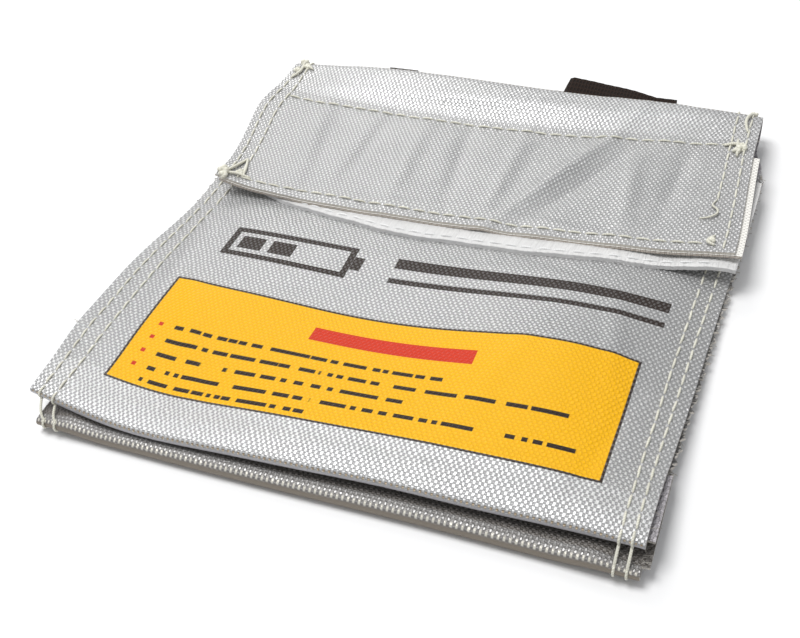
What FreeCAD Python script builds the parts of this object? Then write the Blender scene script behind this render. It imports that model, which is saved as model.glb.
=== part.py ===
import FreeCAD, Part
import math
import os

# A flat, closed charging and storage sack for model batteries, lying on its back panel.
# Millimetres. +X is the sack's width, +Y runs from the bottom folds to the top fold, +Z is up.
# The shapes are drawn with y = 0 at the front bottom fold and moved, when they are written,
# so that the origin is the middle of the back panel's underside.

# Overall
BAG_WIDTH = 180.0
BAG_HEIGHT = 181.0  # front bottom fold to top fold, closed
BACK_FOLD_LEAD = 6.5  # the back bottom fold stands out this far in front of the front one
GUSSET_DEPTH = 24.0  # front bottom fold to the gusset's inner fold
FLAP_LENGTH = 76.0  # top fold to the flap's free edge
MOUTH_SETBACK = 23.0  # top fold to the front panel's mouth edge
LOOP_SHOWS = 8.0  # the loop strip shows this much below the closed flap

# Cloth and tape
CLOTH = 0.8
LINING = 0.4
TAPE_WIDTH = 50.0
LOOP_THICKNESS = 1.3
HOOK_THICKNESS = 1.0
WEBBING_WIDTH = 25.0
WEBBING_THICKNESS = 1.2

# Heights and gaps
FOLD_HEIGHT = 4.5  # outside height of each bottom fold
FOLD_GAP = 1.5  # between the two bottom folds
POCKET_GAP = 4.3  # between the linings, under the flap
CROWN = 4.0  # rise of the front panel's belly above its upper edge, before it is rounded
BELLY_ROUND = 0.9  # share of the panel above the belly that its arc takes
CLEARANCE = 0.3  # between pieces that move apart
SETTLE = 0.05  # between pieces that lie against each other
HINGE_GAP = 0.4  # from a hinge line to the cloth on each side of it
FOLD_END_GAP = 1.25  # where a flat ply meets a rolled fold

# Sewing
SEAM_MARGIN = 9.0  # width of the sewn side seams
SEAM_STANDOFF = 0.5  # from a seam to the loose front panel
EDGE_INSET = 1.0  # thread rows and linings stop this far from a cloth's edge
OUTER_ROW = 3.5  # thread row to the side edge
INNER_ROW = 7.0
STITCH_PITCH = 5.3
STITCH_FILL = 0.82  # share of the pitch that shows as thread
THREAD = 0.8
THREAD_HEIGHT = 0.4
TAPE_ROW = 2.0  # thread row to the tape's edge
TACK_LENGTH = 8.0
LOOSE_END = 14.0  # length of the loose thread end

# Carry strap
STRAP_SPAN = 114.0  # outside of one sewn end to the outside of the other
STRAP_SHIFT = 1.0  # the strap's middle, right of the sack's middle
STRAP_REACH = 19.0  # past the top fold
TAB_LENGTH = 12.0
TAB_INSET = 10.0  # the sewn ends lie this far deeper under the fold than the strap
RAMP = 12.0  # the back panel climbs over the sewn ends in this length
RAMP_RADIUS = 20.0
RAMP_LEAD = 2.0  # the back panel is fully up this far before the sewn ends

# Levels, from the floor up
back_top = CLOTH
back_lining_top = back_top + LINING
front_lining_low = back_lining_top + POCKET_GAP
front_low = front_lining_low + LINING
front_top = front_low + CLOTH
loop_top = front_top + LOOP_THICKNESS
hook_low = loop_top + CLEARANCE
flap_low = hook_low + HOOK_THICKNESS
flap_top = flap_low + CLOTH
tab_low = THREAD_HEIGHT + SETTLE
tab_top = tab_low + WEBBING_THICKNESS
lift_low = tab_top + SETTLE  # underside of the back panel over the sewn ends
fold_top = 2 * FOLD_HEIGHT + FOLD_GAP

# Lines across the sack
flap_edge = BAG_HEIGHT - FLAP_LENGTH
mouth_edge = BAG_HEIGHT - MOUTH_SETBACK
loop_edge = flap_edge - LOOP_SHOWS
belly_line = loop_edge - HINGE_GAP - SETTLE  # the loose front panel bends here
lining_end = GUSSET_DEPTH + 2.0  # the front lining stops short of the gusset
half_cloth = CLOTH / 2
bottom_roll = (FOLD_HEIGHT - CLOTH) / 2  # centreline radius of the bottom folds
top_roll = (flap_top - lift_low - CLOTH) / 2  # centreline radius of the top fold
half_width = BAG_WIDTH / 2
panel_half = half_width - SEAM_MARGIN - SEAM_STANDOFF
strap_y1 = BAG_HEIGHT + STRAP_REACH
strap_y0 = strap_y1 - WEBBING_WIDTH
tab_y0 = strap_y0 - TAB_INSET
lift_y = tab_y0 - RAMP_LEAD  # the back panel is fully up here
ramp_y = lift_y - RAMP
lining_y = ramp_y - RAMP_LEAD


def offset_side(points, distance):
    """Edges of a filleted polyline (y, z, radius), moved sideways by distance to its left."""
    edges = []
    at = [FreeCAD.Vector(0, y, z) for y, z, r in points]
    start = None
    for i, (y, z, radius) in enumerate(points):
        if i == 0 or i == len(points) - 1:
            other = at[1] if i == 0 else at[i - 1]
            along = (other - at[i]).normalize() * (1 if i == 0 else -1)
            end = at[i] + left_of(along) * distance
            if start and start.distanceToPoint(end) > 1e-6:
                edges.append(Part.LineSegment(start, end).toShape())
            start = end
            continue
        before = (at[i] - at[i - 1]).normalize()
        after = (at[i + 1] - at[i]).normalize()
        turn = before.getAngle(after)
        sign = 1 if before.cross(after).x > 0 else -1
        centre = at[i] - before * radius * math.tan(turn / 2) + left_of(before) * sign * radius
        reach = radius - sign * distance
        first = centre - left_of(before) * sign * reach
        last = centre - left_of(after) * sign * reach
        middle_way = (left_of(before) + left_of(after)).normalize()
        middle = centre - middle_way * sign * reach
        if start.distanceToPoint(first) > 1e-6:
            edges.append(Part.LineSegment(start, first).toShape())
        edges.append(Part.Arc(first, middle, last).toShape())
        start = last
    return edges


def left_of(direction):
    """The direction turned a quarter turn from +Y towards +Z."""
    return FreeCAD.Vector(0, -direction.z, direction.y)


def ribbon(points, low, high, x0, x1):
    """A sheet across the sack from x0 to x1, between two offsets of a filleted polyline."""
    one = offset_side(points, low)
    two = offset_side(points, high)
    caps = [
        Part.LineSegment(one[0].Vertexes[0].Point, two[0].Vertexes[0].Point).toShape(),
        Part.LineSegment(one[-1].Vertexes[-1].Point, two[-1].Vertexes[-1].Point).toShape(),
    ]
    outline = Part.Wire(Part.__sortEdges__(one + two + caps))
    face = Part.Face(outline)
    face.translate(FreeCAD.Vector(x0, 0, 0))
    return face.extrude(FreeCAD.Vector(x1 - x0, 0, 0))


def box(x0, x1, y0, y1, z0, z1):
    return Part.makeBox(x1 - x0, y1 - y0, z1 - z0, FreeCAD.Vector(x0, y0, z0))


def stitch_run(start, end, up=(0, 0, 1)):
    """Even stitches along a straight run, lying on the surface whose normal is up."""
    start, end, up = FreeCAD.Vector(*start), FreeCAD.Vector(*end), FreeCAD.Vector(*up)
    along = end - start
    count = max(1, round(along.Length / STITCH_PITCH))
    pitch = along.Length / count
    length = pitch * STITCH_FILL
    along.normalize()
    turn = FreeCAD.Rotation(along, up.cross(along), up, "XZY")
    stitches = []
    for i in range(count):
        stitch = Part.makeBox(length, THREAD, THREAD_HEIGHT)
        stitch.translate(FreeCAD.Vector(-length / 2, -THREAD / 2, 0))
        stitch.Placement = FreeCAD.Placement(start + along * pitch * (i + 0.5), turn).multiply(
            stitch.Placement
        )
        stitches.append(stitch)
    return stitches


def front_curve(y_end):
    """The front panel's centreline, from the bend under the loop strip down to y_end."""
    start = belly_line - HINGE_GAP
    edge = front_low + half_cloth
    belly = (lining_end + belly_line) / 2
    apex = edge + CROWN
    fold = fold_top - half_cloth
    slope = (apex - fold) / (belly - half_cloth)
    turn = math.atan2(CROWN, start - belly) + math.atan(slope)
    radius = BELLY_ROUND * (start - belly) / math.tan(turn / 2)
    return [(start, edge, 0), (belly, apex, radius), (y_end, fold + slope * (y_end - half_cloth), 0)]


def back_panel():
    """The back cloth, with the back bottom fold at one end and the top fold at the other."""
    low = half_cloth
    lifted = lift_low + half_cloth
    fold_y = half_cloth - BACK_FOLD_LEAD
    fold_z = low + 2 * bottom_roll
    top_y = BAG_HEIGHT - half_cloth
    points = [
        (fold_y + bottom_roll, fold_z, 0),
        (fold_y, fold_z, bottom_roll),
        (fold_y, low, bottom_roll),
        (ramp_y, low, RAMP_RADIUS),
        (lift_y, lifted, RAMP_RADIUS),
        (top_y, lifted, top_roll),
        (top_y, lifted + 2 * top_roll, top_roll),
        (top_y - top_roll, lifted + 2 * top_roll, 0),
    ]
    return ribbon(points, -half_cloth, half_cloth, -half_width, half_width)


def back_lining():
    room = half_width - SEAM_MARGIN
    return box(-room, room, bottom_roll, lining_y, back_top, back_lining_top)


def side_seam(side):
    """The side margins of the front panel, gusset and linings, pressed together and sewn."""
    z0 = back_top
    outline = [
        (half_cloth, z0),
        (lining_y, z0),
        (lift_y, lift_low + CLOTH),
        (lift_y, front_top),
        (belly_line, front_top),
        (GUSSET_DEPTH, fold_top),
        (half_cloth, fold_top),
    ]
    corners = [FreeCAD.Vector(0, y, z) for y, z in outline + outline[:1]]
    face = Part.Face(Part.makePolygon(corners))
    face.translate(FreeCAD.Vector(min(side * half_width, side * (half_width - SEAM_MARGIN)), 0, 0))
    return face.extrude(FreeCAD.Vector(SEAM_MARGIN, 0, 0))


def seam_thread(side, from_edge):
    """One thread row along a side seam, on its three straight runs."""
    x = side * (half_width - from_edge)
    down = FreeCAD.Vector(0, belly_line - GUSSET_DEPTH, front_top - fold_top)
    first = FreeCAD.Vector(x, GUSSET_DEPTH, fold_top) + down * (THREAD / down.Length)
    last = FreeCAD.Vector(x, belly_line, front_top) - down * (THREAD / down.Length)
    runs = stitch_run((x, EDGE_INSET, fold_top), (x, GUSSET_DEPTH, fold_top))
    runs += stitch_run(first, last, left_of(down).normalize())
    runs += stitch_run((x, belly_line, front_top), (x, lift_y, front_top))
    return Part.makeCompound(runs)


def front_panel():
    """The loose front cloth below the loop strip, with the front bottom fold."""
    points = front_curve(half_cloth)[:2] + [
        (half_cloth, fold_top - half_cloth, bottom_roll),
        (half_cloth, fold_top - half_cloth - 2 * bottom_roll, bottom_roll),
        (half_cloth + bottom_roll, fold_top - half_cloth - 2 * bottom_roll, 0),
    ]
    return ribbon(points, -half_cloth, half_cloth, -panel_half, panel_half)


def front_lining():
    points = front_curve(lining_end)
    return ribbon(points, half_cloth, half_cloth + LINING, -panel_half, panel_half)


def mouth_panel():
    y0 = belly_line + HINGE_GAP
    return box(-panel_half, panel_half, y0, mouth_edge, front_low, front_top)


def mouth_lining():
    y0 = belly_line + HINGE_GAP
    return box(-panel_half, panel_half, y0, mouth_edge, front_lining_low, front_low)


def loop_rows():
    return [loop_edge + TAPE_ROW, loop_edge + TAPE_WIDTH - TAPE_ROW]


def loop_strip():
    """The soft fastener strip on the front panel, with a sunk groove for each thread row."""
    strip = box(-panel_half, panel_half, loop_edge, loop_edge + TAPE_WIDTH, front_top, loop_top)
    for y in loop_rows():
        half = THREAD / 2 + SETTLE
        low = loop_top - THREAD_HEIGHT - SETTLE
        strip = strip.cut(box(-half_width, half_width, y - half, y + half, low, flap_top))
    return strip


def loop_strip_thread():
    z = loop_top - THREAD_HEIGHT - SETTLE
    reach = panel_half - TAPE_ROW
    rows = [stitch_run((-reach, y, z), (reach, y, z)) for y in loop_rows()]
    return Part.makeCompound(rows[0] + rows[1])


def mouth_hem_thread():
    y = mouth_edge - TAPE_ROW
    reach = panel_half - TAPE_ROW
    return Part.makeCompound(stitch_run((-reach, y, front_top), (reach, y, front_top)))


def gusset_lower_ply():
    """The gusset's lower ply, with the lower half of the inner fold at its far end."""
    low = FOLD_HEIGHT - half_cloth
    roll = (FOLD_GAP + CLOTH) / 2
    start = half_cloth - BACK_FOLD_LEAD + bottom_roll + FOLD_END_GAP
    inner = GUSSET_DEPTH - half_cloth
    points = [(start, low, 0), (inner, low, roll), (inner, low + roll + SETTLE, 0)]
    return ribbon(points, -half_cloth, half_cloth, -panel_half, panel_half)


def gusset_upper_ply():
    low = FOLD_HEIGHT + FOLD_GAP
    start = half_cloth + bottom_roll + FOLD_END_GAP
    end = GUSSET_DEPTH - CLOTH - CLEARANCE
    return box(-panel_half, panel_half, start, end, low, low + CLOTH)


def flap_start():
    return BAG_HEIGHT - half_cloth - top_roll - FOLD_END_GAP


def flap_cloth():
    return box(-half_width, half_width, flap_edge, flap_start(), flap_low, flap_top)


def flap_lining():
    room = half_width - SEAM_MARGIN
    y0 = flap_edge + TAPE_WIDTH + EDGE_INSET
    y1 = flap_start() - EDGE_INSET
    return box(-room, room, y0, y1, flap_low - LINING, flap_low)


def hook_strip():
    y0 = flap_edge + half_cloth
    reach = half_width - TAPE_ROW
    return box(-reach, reach, y0, y0 + TAPE_WIDTH, hook_low, flap_low)


def hook_thread(y):
    reach = half_width - INNER_ROW - EDGE_INSET
    return Part.makeCompound(stitch_run((-reach, y, flap_top), (reach, y, flap_top)))


def flap_side_thread(side):
    """Two thread rows down one side of the flap."""
    stitches = []
    y0 = flap_edge + EDGE_INSET
    y1 = flap_start() - EDGE_INSET
    for from_edge in (OUTER_ROW, INNER_ROW):
        x = side * (half_width - from_edge)
        stitches += stitch_run((x, y0, flap_top), (x, y1, flap_top))
    return Part.makeCompound(stitches)


def corner_tack(side, y, legs):
    """Dense back-and-forth thread at a corner: short bars fanned from one point."""
    bars = []
    x = side * (half_width - (OUTER_ROW + INNER_ROW) / 2)
    low = flap_top + THREAD_HEIGHT
    for turn in legs:
        bar = Part.makeBox(TACK_LENGTH, THREAD, THREAD)
        bar.translate(FreeCAD.Vector(0, -THREAD / 2, 0))
        bar.rotate(FreeCAD.Vector(), FreeCAD.Vector(0, 0, 1), turn)
        bar.translate(FreeCAD.Vector(x, y, low))
        bars.append(bar)
    fan = bars[0]
    for bar in bars[1:]:
        fan = fan.fuse(bar)
    return fan.removeSplitter()


def loose_thread_end():
    """A loose thread end that curls on the flap beside the right-hand rows."""
    radius = LOOSE_END / math.pi
    x = half_width - INNER_ROW - 2 * THREAD - radius
    y = flap_edge + TAPE_WIDTH / 2
    z = flap_top + THREAD / 2
    path = Part.Arc(
        FreeCAD.Vector(x, y - radius, z),
        FreeCAD.Vector(x + radius, y, z),
        FreeCAD.Vector(x, y + radius, z),
    ).toShape()
    section = Part.makeCircle(THREAD / 2, FreeCAD.Vector(x, y - radius, z), FreeCAD.Vector(1, 0, 0))
    return Part.Wire(path).makePipeShell([Part.Wire(section)], True, False)


def strap_tab(side):
    """A sewn end of the carry strap, under the back panel at the top fold."""
    outer = STRAP_SHIFT + side * STRAP_SPAN / 2
    inner = outer - side * TAB_LENGTH
    y1 = tab_y0 + WEBBING_WIDTH
    return box(min(outer, inner), max(outer, inner), tab_y0, y1, tab_low, tab_top)


def strap_tack(side):
    """The box of stitches that holds a strap end, on its underside."""
    outer = STRAP_SHIFT + side * (STRAP_SPAN / 2 - TAPE_ROW)
    inner = outer - side * (TAB_LENGTH - 2 * TAPE_ROW)
    x0, x1 = min(outer, inner), max(outer, inner)
    y0 = tab_y0 + TAPE_ROW
    y1 = y0 + TAB_LENGTH
    z = tab_low - THREAD_HEIGHT
    runs = []
    for x in (x0, x1):
        runs += stitch_run((x, y0 + THREAD, z), (x, y1 - THREAD, z))
    for y in (y0, y1):
        runs += stitch_run((x0, y, z), (x1, y, z))
    return Part.makeCompound(runs)


def handle_strap():
    """The loose middle of the carry strap, flat on the floor behind the top fold."""
    reach = STRAP_SPAN / 2 - TAB_LENGTH - CLEARANCE
    x0 = STRAP_SHIFT - reach
    x1 = STRAP_SHIFT + reach
    return box(x0, x1, strap_y0, strap_y1, tab_low, tab_top)


def build():
    low_row = flap_edge + TAPE_ROW
    high_row = flap_edge + TAPE_WIDTH - TAPE_ROW / 2
    nodes = {
        "back_panel": back_panel(),
        "back_lining": back_lining(),
        "front_panel": front_panel(),
        "front_lining": front_lining(),
        "mouth_panel": mouth_panel(),
        "mouth_lining": mouth_lining(),
        "mouth_hem_thread": mouth_hem_thread(),
        "loop_strip": loop_strip(),
        "loop_strip_thread": loop_strip_thread(),
        "gusset_lower_ply": gusset_lower_ply(),
        "gusset_upper_ply": gusset_upper_ply(),
        "flap_cloth": flap_cloth(),
        "flap_lining": flap_lining(),
        "hook_strip": hook_strip(),
        "hook_thread_bottom": hook_thread(low_row),
        "hook_thread_top": hook_thread(high_row),
        "corner_tack_top_left": corner_tack(-1, high_row, (0, 90)),
        "corner_tack_low_left": corner_tack(-1, low_row, (60, 120)),
        "corner_tack_top_right": corner_tack(1, high_row, (90, 180)),
        "loose_thread_end": loose_thread_end(),
        "handle_strap": handle_strap(),
    }
    for side, name in ((-1, "left"), (1, "right")):
        nodes["side_seam_" + name] = side_seam(side)
        nodes["seam_thread_" + name + "_outer"] = seam_thread(side, OUTER_ROW)
        nodes["seam_thread_" + name + "_inner"] = seam_thread(side, INNER_ROW)
        nodes["flap_side_thread_" + name] = flap_side_thread(side)
        nodes["strap_tab_" + name] = strap_tab(side)
        nodes["strap_tack_" + name] = strap_tack(side)
    return nodes


os.makedirs("parts", exist_ok=True)
for node, shape in build().items():
    shape.translate(FreeCAD.Vector(0, -BAG_HEIGHT / 2, 0))
    shape.exportStep("parts/" + node + ".step")
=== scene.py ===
import math
from functools import partial

import bpy
import numpy as np
from mathutils import Matrix, Vector


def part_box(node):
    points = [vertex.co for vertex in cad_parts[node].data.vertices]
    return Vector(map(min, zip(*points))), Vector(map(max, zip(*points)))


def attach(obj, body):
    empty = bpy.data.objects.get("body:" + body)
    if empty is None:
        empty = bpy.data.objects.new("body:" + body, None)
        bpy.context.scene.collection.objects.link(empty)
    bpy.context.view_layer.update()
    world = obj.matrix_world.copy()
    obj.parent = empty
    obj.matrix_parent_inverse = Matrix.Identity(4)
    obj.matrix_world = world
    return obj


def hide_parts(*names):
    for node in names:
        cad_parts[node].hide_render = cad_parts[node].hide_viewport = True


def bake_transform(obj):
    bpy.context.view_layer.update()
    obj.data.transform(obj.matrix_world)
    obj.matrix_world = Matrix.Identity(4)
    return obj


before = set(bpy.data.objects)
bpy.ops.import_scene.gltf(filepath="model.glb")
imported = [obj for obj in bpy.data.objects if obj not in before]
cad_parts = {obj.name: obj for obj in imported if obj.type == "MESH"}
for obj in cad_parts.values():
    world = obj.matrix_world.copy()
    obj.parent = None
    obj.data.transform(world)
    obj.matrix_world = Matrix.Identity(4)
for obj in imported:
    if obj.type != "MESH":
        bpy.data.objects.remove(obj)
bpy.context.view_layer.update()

MM = 0.001
rng = np.random.default_rng(7)


def cad(node):
    """Lowest and highest corner of a CAD node, in millimetres, with y = 0 at the front fold."""
    low, high = (np.array(corner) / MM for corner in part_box(node))
    return low - [0, FRONT, 0], high - [0, FRONT, 0]


# Places taken from the CAD, in millimetres
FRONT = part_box("front_panel")[0].y / MM
HALF = cad("back_panel")[1][0]
TOP_FOLD = cad("back_panel")[1][1]
BACK_FOLD = cad("back_panel")[0][1]
HINGE = (cad("front_panel")[1][1] + cad("mouth_panel")[0][1]) / 2
FLAP_EDGE = cad("flap_cloth")[0][1]
MOUTH_EDGE = cad("mouth_panel")[1][1]
LOOP_LOW, LOOP_HIGH = cad("loop_strip")[0][1], cad("loop_strip")[1][1]
HOOK_HIGH = cad("hook_strip")[1][1]
LINING_END = cad("front_lining")[0][1]
PANEL_HALF = cad("front_panel")[1][0]
BACK_LINING = cad("back_lining")
STRAP = cad("handle_strap")
STRAP_MIDDLE = (STRAP[0][0] + STRAP[1][0]) / 2
TAB_LEFT, TAB_RIGHT = cad("strap_tab_left"), cad("strap_tab_right")

# Thicknesses, and the gap between two layers that touch
CLOTH = 0.8
LINING = 0.4
LOOP = 1.3
HOOK = 1.0
WEBBING = STRAP[1][2] - STRAP[0][2]
NEAR = 0.02

# Lengths along the cloth
FOLD_RADIUS = 1.85
FOLD_ARC = math.pi * FOLD_RADIUS
LIP = 1.6
TOP_ARC = 12.0
FLAP_RUN = 72.0
HOOK_TOP, HOOK_END = TOP_FOLD - HOOK_HIGH - 4.3, FLAP_RUN + 0.3
UPPER_PLY, LOWER_PLY = 21.0, 28.0
INNER_FOLD = 22.6
STEP = 1.25

# Heights of the cloth's upper side above the floor, in millimetres, set until the outlines
# agreed with the photograph's. Each row is a place up the sack, and each column one across it.
COLUMNS = [-90, -75, -50, -18, 20, 57, 75, 90]
FRONT_ROWS = [-3, 4, 13, 30, 57, 72, 96.5, 106, 130, 158]
FRONT_HEIGHTS = [
    [9.4, 8.6, 7.9, 8.6, 9.0, 8.7, 9.0, 9.2],
    [9.7, 8.9, 8.0, 9.2, 10.0, 9.9, 10.0, 9.6],
    [9.0, 8.2, 7.1, 8.7, 10.0, 10.7, 10.0, 9.2],
    [7.6, 7.8, 7.4, 7.6, 8.4, 10.6, 9.0, 7.4],
    [6.0, 7.0, 7.2, 5.2, 7.2, 11.3, 8.2, 5.2],
    [5.0, 6.2, 6.8, 5.4, 7.0, 9.6, 7.4, 4.4],
    [2.9, 4.7, 5.2, 4.5, 5.2, 7.0, 5.8, 3.6],
    [2.8, 4.0, 3.7, 3.0, 3.1, 5.0, 4.8, 3.3],
    [2.8, 3.9, 3.8, 3.0, 3.1, 4.6, 4.4, 3.2],
    [3.1, 4.2, 4.0, 3.1, 3.2, 4.6, 4.4, 3.4],
]
# How far the two bottom folds stand forward, at places across the width
FRONT_BULGE_AT = [-90, -75, -55, -30, 0, 20, 45, 70, 90]
FRONT_BULGE = [0.0, 2.1, 4.0, 3.7, 2.9, 2.1, 1.8, 1.4, 1.8]
BACK_BULGE_AT = [-90, -60, 5, 30, 55, 90]
BACK_BULGE = [0.6, 1.1, 1.1, 0.8, 0.9, 1.3]
FLAP_ROWS = [105, 118, 140, 157, 163, 171, 177]
FLAP_HEIGHTS = [
    [11.6, 8.9, 7.1, 6.3, 6.4, 8.4, 10.4, 13.0],
    [9.6, 8.2, 7.2, 6.4, 6.5, 8.3, 9.8, 11.6],
    [9.8, 8.6, 7.4, 6.7, 6.9, 8.5, 9.6, 11.0],
    [11.2, 9.3, 7.6, 6.7, 6.8, 8.6, 9.9, 11.5],
    [11.3, 9.6, 8.0, 7.2, 7.3, 8.7, 9.9, 11.2],
    [11.4, 11.2, 11.2, 11.2, 10.8, 10.4, 10.6, 11.1],
    [11.4, 12.1, 13.4, 13.2, 11.7, 12.2, 12.2, 11.3],
]
# How far the pressed sides stand off the floor, at places up the sack
SEAM_ROWS = [-7, 24, 50, 80, 105, 158, 172]
SEAM_HEIGHTS = [1.7, 1.5, 1.3, 0.8, 0.6, 0.6, 0.3]
# Creases: x, y, turn in degrees, half length, half width, height
FLAP_CREASES = [
    (-62, 136, 96, 26, 3.0, 0.75),
    (-41, 140, 84, 24, 2.8, -0.75),
    (-24, 134, 92, 24, 3.2, 0.80),
    (-6, 138, 97, 22, 2.8, -0.70),
    (12, 136, 88, 24, 3.0, 0.75),
    (30, 138, 62, 30, 2.8, 1.60),
    (37, 132, 60, 26, 3.6, -1.35),
    (54, 134, 95, 18, 3.0, 0.70),
    (68, 140, 84, 20, 2.8, -0.60),
    (-30, 110, 8, 26, 1.4, 0.51),
    (40, 111, 172, 22, 1.6, 0.43),
    (-5, 171, 3, 60, 2.0, 0.51),
]
FRONT_CREASES = [
    (-58, 40, 118, 26, 3.0, 0.5),
    (-30, 66, 20, 24, 3.0, -0.35),
    (38, 44, 74, 24, 4.0, 0.45),
    (66, 62, 100, 20, 3.0, 0.5),
    (72, 28, 80, 20, 2.6, -0.4),
    (-76, 66, 96, 22, 2.4, 0.35),
    (10, 86, 4, 40, 2.4, 0.35),
    (48, 90, 165, 20, 2.2, -0.35),
    (0, 8, 1, 70, 1.8, -0.3),
]


def ease(value, start, end):
    """0 up to start, 1 from end on, and smooth between them."""
    t = np.clip((value - start) / (end - start), 0, 1)
    return t * t * (3 - 2 * t)


def near_side(x, side, power, limit=1.0):
    """0 in the middle and 1 at one side's edge. A higher power keeps it closer to the edge."""
    return np.clip(side * x / HALF, 0, limit) ** power


def paired(x, s):
    """Both coordinates as arrays of one shape."""
    return np.broadcast_arrays(np.asarray(x, float), np.asarray(s, float))


def cardinal(knots, at):
    """Weight of each knot's value at each place, for a natural cubic spline."""
    knots = np.asarray(knots, float)
    at = np.clip(np.asarray(at, float), knots[0], knots[-1])
    n, h = len(knots), np.diff(knots)
    a, b = np.eye(n), np.zeros((n, n))
    for i in range(1, n - 1):
        a[i, i - 1 : i + 2] = h[i - 1], 2 * (h[i - 1] + h[i]), h[i]
        b[i, i - 1 : i + 2] = 6 / h[i - 1], -6 / h[i - 1] - 6 / h[i], 6 / h[i]
    bends = np.linalg.solve(a, b)
    k = np.clip(np.searchsorted(knots, at) - 1, 0, n - 2)
    left = (knots[k + 1] - at) / h[k]
    right = 1 - left
    square = h[k] ** 2 / 6
    eye = np.eye(n)
    return (
        left[..., None] * eye[k]
        + right[..., None] * eye[k + 1]
        + ((left**3 - left) * square)[..., None] * bends[k]
        + ((right**3 - right) * square)[..., None] * bends[k + 1]
    )


def relief(rows, heights, x, y):
    """Smooth surface through a table of heights."""
    across, along = cardinal(COLUMNS, x), cardinal(rows, y)
    return np.einsum("...i,...j,ji->...", across, along, np.array(heights))


def creases(table, x, y):
    """Sum of long, narrow bumps."""
    z = 0
    for cx, cy, turn, length, width, height in table:
        c, s = math.cos(math.radians(turn)), math.sin(math.radians(turn))
        u, v = (x - cx) * c + (y - cy) * s, (y - cy) * c - (x - cx) * s
        z = z + height * np.exp(-((u / length) ** 2) - (v / width) ** 2)
    return z


def skew(x, y):
    """The right side leans out towards the top and in at the bottom, and the left side bulges."""
    lean_out = 3.0 * near_side(x, 1, 3, 1.1) * ease(y, 45, 145)
    lean_in = 1.9 * near_side(x, 1, 8, 1.05) * ease(y, 62, 0)
    bulge = 3.8 * near_side(x, -1, 8) * ease(y, 0, 34) * ease(y, 108, 53)
    return lean_out - lean_in - bulge


def fold_radius(x):
    """Radius of the bottom folds, which are pressed tighter at the seams."""
    return FOLD_RADIUS - 0.8 * ease(np.abs(x), 74, 89)


def panel_top(x, y):
    """The front cloth's upper side, fold to mouth."""
    calm = ease(np.abs(x), HALF, HALF - 12)
    return relief(FRONT_ROWS, FRONT_HEIGHTS, x, y) + creases(FRONT_CREASES, x, y) * calm


def flap_top(x, y):
    """The flap's upper side, free edge to top fold."""
    ripple = 0.10 * np.sin(x / 3.9 + 0.6 * np.sin(y / 9)) * ease(y, 157, 149)
    return relief(FLAP_ROWS, FLAP_HEIGHTS, x, y) + creases(FLAP_CREASES, x, y) + ripple


def round_fold(s, radius, y, z, up):
    """Side view of a bottom fold that starts at y, z and turns up or down, and of its lip."""
    turn = np.clip(-s / FOLD_RADIUS, 0, math.pi)
    lip = np.clip(-s - FOLD_ARC, 0, None)
    return y - radius * np.sin(turn) + lip, z + up * radius * (1 - np.cos(turn))


def front_point(x, s):
    """Middle of the front cloth. s is the flat distance up from the fold, under it when negative."""
    x, s = paired(x, s)
    radius = 0.64 * fold_radius(x)
    y0 = radius + CLOTH / 2 - cardinal(FRONT_BULGE_AT, x) @ FRONT_BULGE
    y = np.where(s > 0, y0 + s * (HINGE - y0) / HINGE, y0)
    y = np.where(s > HINGE, s, y)
    z = panel_top(x, y) - CLOTH / 2
    fold_y, fold_z = round_fold(s, radius, y0, panel_top(x, y0) - CLOTH / 2, -1)
    y, z = np.where(s < 0, fold_y, y), np.where(s < 0, fold_z, z)
    return np.stack([x + skew(x, y), y, z], -1)


def back_low(x, y):
    """The back cloth's underside, lifted at the top by the folded and doubled strap ends."""
    seam = np.einsum("...i,i->...", cardinal(SEAM_ROWS, y), np.array(SEAM_HEIGHTS))
    lifted = (TAB_LEFT[1][2] + 0.07) * ease(y, 151, 162)
    from_middle = np.abs(x - STRAP_MIDDLE)
    over_end = ease(from_middle, 33, 39) * ease(from_middle, 67, 61)
    lifted = lifted + (WEBBING + 0.15) * over_end * ease(y, 163, 173)
    return seam * ease(np.abs(x), 64, 88) + lifted


def back_point(x, s):
    """Middle of the back cloth. s runs up the back from the bottom fold, round it when negative."""
    x, s = paired(x, s)
    radius = fold_radius(x)
    y0 = BACK_FOLD + 0.5 + radius + CLOTH / 2 - cardinal(BACK_BULGE_AT, x) @ BACK_BULGE
    y = y0 + np.clip(s, 0, None)
    z = back_low(x, y) + CLOTH / 2
    fold_y, fold_z = round_fold(s, radius, y0, back_low(x, y0) + CLOTH / 2, 1)
    y, z = np.where(s < 0, fold_y, y), np.where(s < 0, fold_z, z)
    drawn_in = 4.6 * near_side(x, -1, 6) * ease(y, 30, 0)
    return np.stack([x + drawn_in + skew(x, y) * ease(y, 172, 160), y, z], -1)


def top_roll(x):
    """The top fold's roll: where it starts, the height of its lower end, and its radius."""
    outline = TOP_FOLD + 1.4 + 1.4 * np.clip(1 - (x / HALF) ** 2, 0, 1)
    high = flap_top(x, np.full_like(x, 177.0)) - CLOTH / 2
    low = back_low(x, np.full_like(x, 176.0)) + CLOTH / 2
    radius = (high - low) / 2
    return outline - radius - CLOTH / 2, low, radius


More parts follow.
